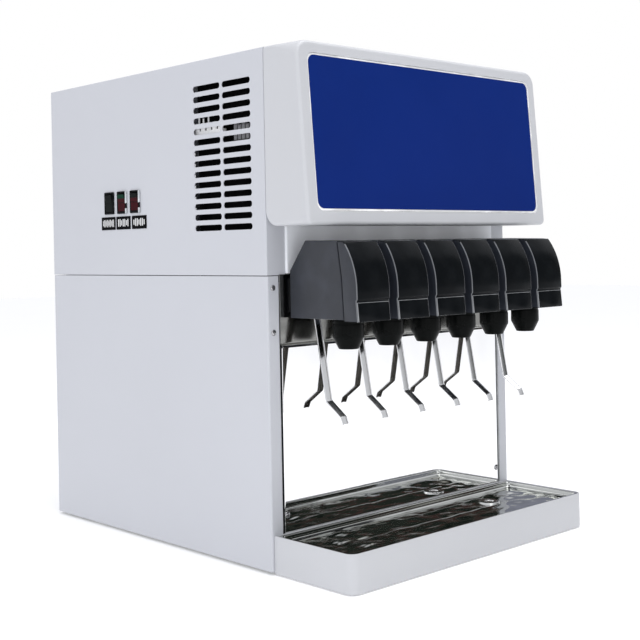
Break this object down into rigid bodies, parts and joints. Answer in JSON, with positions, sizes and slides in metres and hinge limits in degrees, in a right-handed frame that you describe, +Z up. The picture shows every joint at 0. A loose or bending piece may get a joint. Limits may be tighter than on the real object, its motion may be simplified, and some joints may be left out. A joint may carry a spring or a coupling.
{
  "type": "fountain soda dispenser",
  "caption": "Countertop fountain soda dispenser with a lit front hood, a row of lever valves with nozzles, a mirrored backsplash and a lift-out drip pan.",
  "frame": {"origin": "centre of the overall box at the plane the feet stand on", "axes": "+X to the machine's right as a customer faces it, +Y from the front to the back, +Z up"},
  "size_m": [0.5047, 0.6882, 0.696],
  "materials": {
    "white_enamel": "semi-gloss powder coat, fine orange peel",
    "galvanised": "galvanised sheet",
    "brushed_steel": "brushed stainless",
    "mirror_steel": "polished stainless",
    "black_gloss": "gloss moulded plastic",
    "valve_black": "satin moulded plastic",
    "nozzle_black": "satin moulded plastic",
    "black_satin": "satin moulded plastic",
    "rocker_black": "gloss moulded plastic",
    "rubber": "matt rubber",
    "blue_acrylic": "gloss acrylic sheet",
    "lamp_white": "opal diffuser",
    "aluminium": "bare fins",
    "copper": "drawn copper tube",
    "insulation": "foamed plastic",
    "compressor_black": "black enamel"
  },
  "bodies": {
    "cabinet": {"agitator_motor": "compressor_black", "backsplash": "mirror_steel", "base_pan": "galvanised", "carbonator_tank": "brushed_steel", "compressor": "compressor_black", "condenser": "aluminium", "drip_tray_surround": "white_enamel", "evaporator_coil": "copper", "fan_motor": "compressor_black", "foot_front_left": "rubber", "foot_front_right": "rubber", "foot_rear_left": "rubber", "foot_rear_right": "rubber", "hood_shell": "white_enamel", "led_light_bar": "lamp_white", "left_side_panel": "white_enamel", "lightbox_panel": "blue_acrylic", "lower_rear_panel": "white_enamel", "power_inlet": "black_satin", "refrigeration_deck": "galvanised", "right_side_panel": "white_enamel", "switch_housing_1": "black_satin", "switch_housing_2": "black_satin", "switch_housing_3": "black_satin", "upper_front_panel": "white_enamel", "upper_rear_panel": "white_enamel", "upper_shroud": "white_enamel", "valve_body_1": "valve_black", "valve_body_2": "valve_black", "valve_body_3": "valve_black", "valve_body_4": "valve_black", "valve_body_5": "valve_black", "valve_body_6": "valve_black", "valve_cover_1": "black_gloss", "valve_cover_2": "black_gloss", "valve_cover_3": "black_gloss", "valve_cover_4": "black_gloss", "valve_cover_5": "black_gloss", "valve_cover_6": "black_gloss", "valve_mounting_plate": "brushed_steel", "water_bath_tank": "insulation"},
    "lever_1": {"cup_lever_1": "mirror_steel"},
    "lever_2": {"cup_lever_2": "mirror_steel"},
    "lever_3": {"cup_lever_3": "mirror_steel"},
    "lever_4": {"cup_lever_4": "mirror_steel"},
    "lever_5": {"cup_lever_5": "mirror_steel"},
    "lever_6": {"cup_lever_6": "mirror_steel"},
    "nozzle_1": {"nozzle_1": "nozzle_black"},
    "nozzle_2": {"nozzle_2": "nozzle_black"},
    "nozzle_3": {"nozzle_3": "nozzle_black"},
    "nozzle_4": {"nozzle_4": "nozzle_black"},
    "nozzle_5": {"nozzle_5": "nozzle_black"},
    "nozzle_6": {"nozzle_6": "nozzle_black"},
    "rocker_1": {"rocker_1": "rocker_black"},
    "rocker_2": {"rocker_2": "rocker_black"},
    "rocker_3": {"rocker_3": "rocker_black"},
    "drip_pan": {"drip_pan": "mirror_steel", "drain_fitting": "brushed_steel"},
    "condenser_fan": {"condenser_fan": "black_satin"},
    "agitator": {"agitator_impeller": "brushed_steel"}
  },
  "joints": [
    {"name": "lever_1_push", "type": "hinge", "parent": "cabinet", "child": "lever_1", "pos_m": [-0.18508, -0.2258, 0.3435], "axis": [1, 0, 0], "range_deg": [0, 8], "stiffness_Nm_per_rad": 0.5, "springref_deg": -8.59},
    {"name": "lever_2_push", "type": "hinge", "parent": "cabinet", "child": "lever_2", "pos_m": [-0.11008, -0.2258, 0.3435], "axis": [1, 0, 0], "range_deg": [0, 8], "stiffness_Nm_per_rad": 0.5, "springref_deg": -8.59},
    {"name": "lever_3_push", "type": "hinge", "parent": "cabinet", "child": "lever_3", "pos_m": [-0.03508, -0.2258, 0.3435], "axis": [1, 0, 0], "range_deg": [0, 8], "stiffness_Nm_per_rad": 0.5, "springref_deg": -8.59},
    {"name": "lever_4_push", "type": "hinge", "parent": "cabinet", "child": "lever_4", "pos_m": [0.03992, -0.2258, 0.3435], "axis": [1, 0, 0], "range_deg": [0, 8], "stiffness_Nm_per_rad": 0.5, "springref_deg": -8.59},
    {"name": "lever_5_push", "type": "hinge", "parent": "cabinet", "child": "lever_5", "pos_m": [0.11492, -0.2258, 0.3435], "axis": [1, 0, 0], "range_deg": [0, 8], "stiffness_Nm_per_rad": 0.5, "springref_deg": -8.59},
    {"name": "lever_6_push", "type": "hinge", "parent": "cabinet", "child": "lever_6", "pos_m": [0.18992, -0.2258, 0.3435], "axis": [1, 0, 0], "range_deg": [0, 8], "stiffness_Nm_per_rad": 0.5, "springref_deg": -8.59},
    {"name": "nozzle_1_twist", "type": "hinge", "parent": "cabinet", "child": "nozzle_1", "pos_m": [-0.18508, -0.2861, 0.3165], "axis": [0, 0, 1], "range_deg": [0, 45]},
    {"name": "nozzle_2_twist", "type": "hinge", "parent": "cabinet", "child": "nozzle_2", "pos_m": [-0.11008, -0.2861, 0.3165], "axis": [0, 0, 1], "range_deg": [0, 45]},
    {"name": "nozzle_3_twist", "type": "hinge", "parent": "cabinet", "child": "nozzle_3", "pos_m": [-0.03508, -0.2861, 0.3165], "axis": [0, 0, 1], "range_deg": [0, 45]},
    {"name": "nozzle_4_twist", "type": "hinge", "parent": "cabinet", "child": "nozzle_4", "pos_m": [0.03992, -0.2861, 0.3165], "axis": [0, 0, 1], "range_deg": [0, 45]},
    {"name": "nozzle_5_twist", "type": "hinge", "parent": "cabinet", "child": "nozzle_5", "pos_m": [0.11492, -0.2861, 0.3165], "axis": [0, 0, 1], "range_deg": [0, 45]},
    {"name": "nozzle_6_twist", "type": "hinge", "parent": "cabinet", "child": "nozzle_6", "pos_m": [0.18992, -0.2861, 0.3165], "axis": [0, 0, 1], "range_deg": [0, 45]},
    {"name": "rocker_1_tilt", "type": "hinge", "parent": "cabinet", "child": "rocker_1", "pos_m": [-0.24588, 0.1696, 0.5036], "axis": [0, 1, 0], "range_deg": [0, 12]},
    {"name": "rocker_2_tilt", "type": "hinge", "parent": "cabinet", "child": "rocker_2", "pos_m": [-0.24588, 0.1349, 0.5036], "axis": [0, 1, 0], "range_deg": [0, 12]},
    {"name": "rocker_3_tilt", "type": "hinge", "parent": "cabinet", "child": "rocker_3", "pos_m": [-0.24588, 0.1002, 0.5036], "axis": [0, 1, 0], "range_deg": [0, 12]},
    {"name": "drip_pan_lift", "type": "slide", "parent": "cabinet", "child": "drip_pan", "axis": [0, 0, 1], "range_m": [0, 0.1]},
    {"name": "condenser_fan_spin", "type": "hinge", "parent": "cabinet", "child": "condenser_fan", "pos_m": [-0.17358, -0.1091, 0.544], "axis": [1, 0, 0], "continuous": true},
    {"name": "agitator_spin", "type": "hinge", "parent": "cabinet", "child": "agitator", "pos_m": [0.05742, 0.0709, 0.264], "axis": [0, 0, 1], "continuous": true}
  ]
}
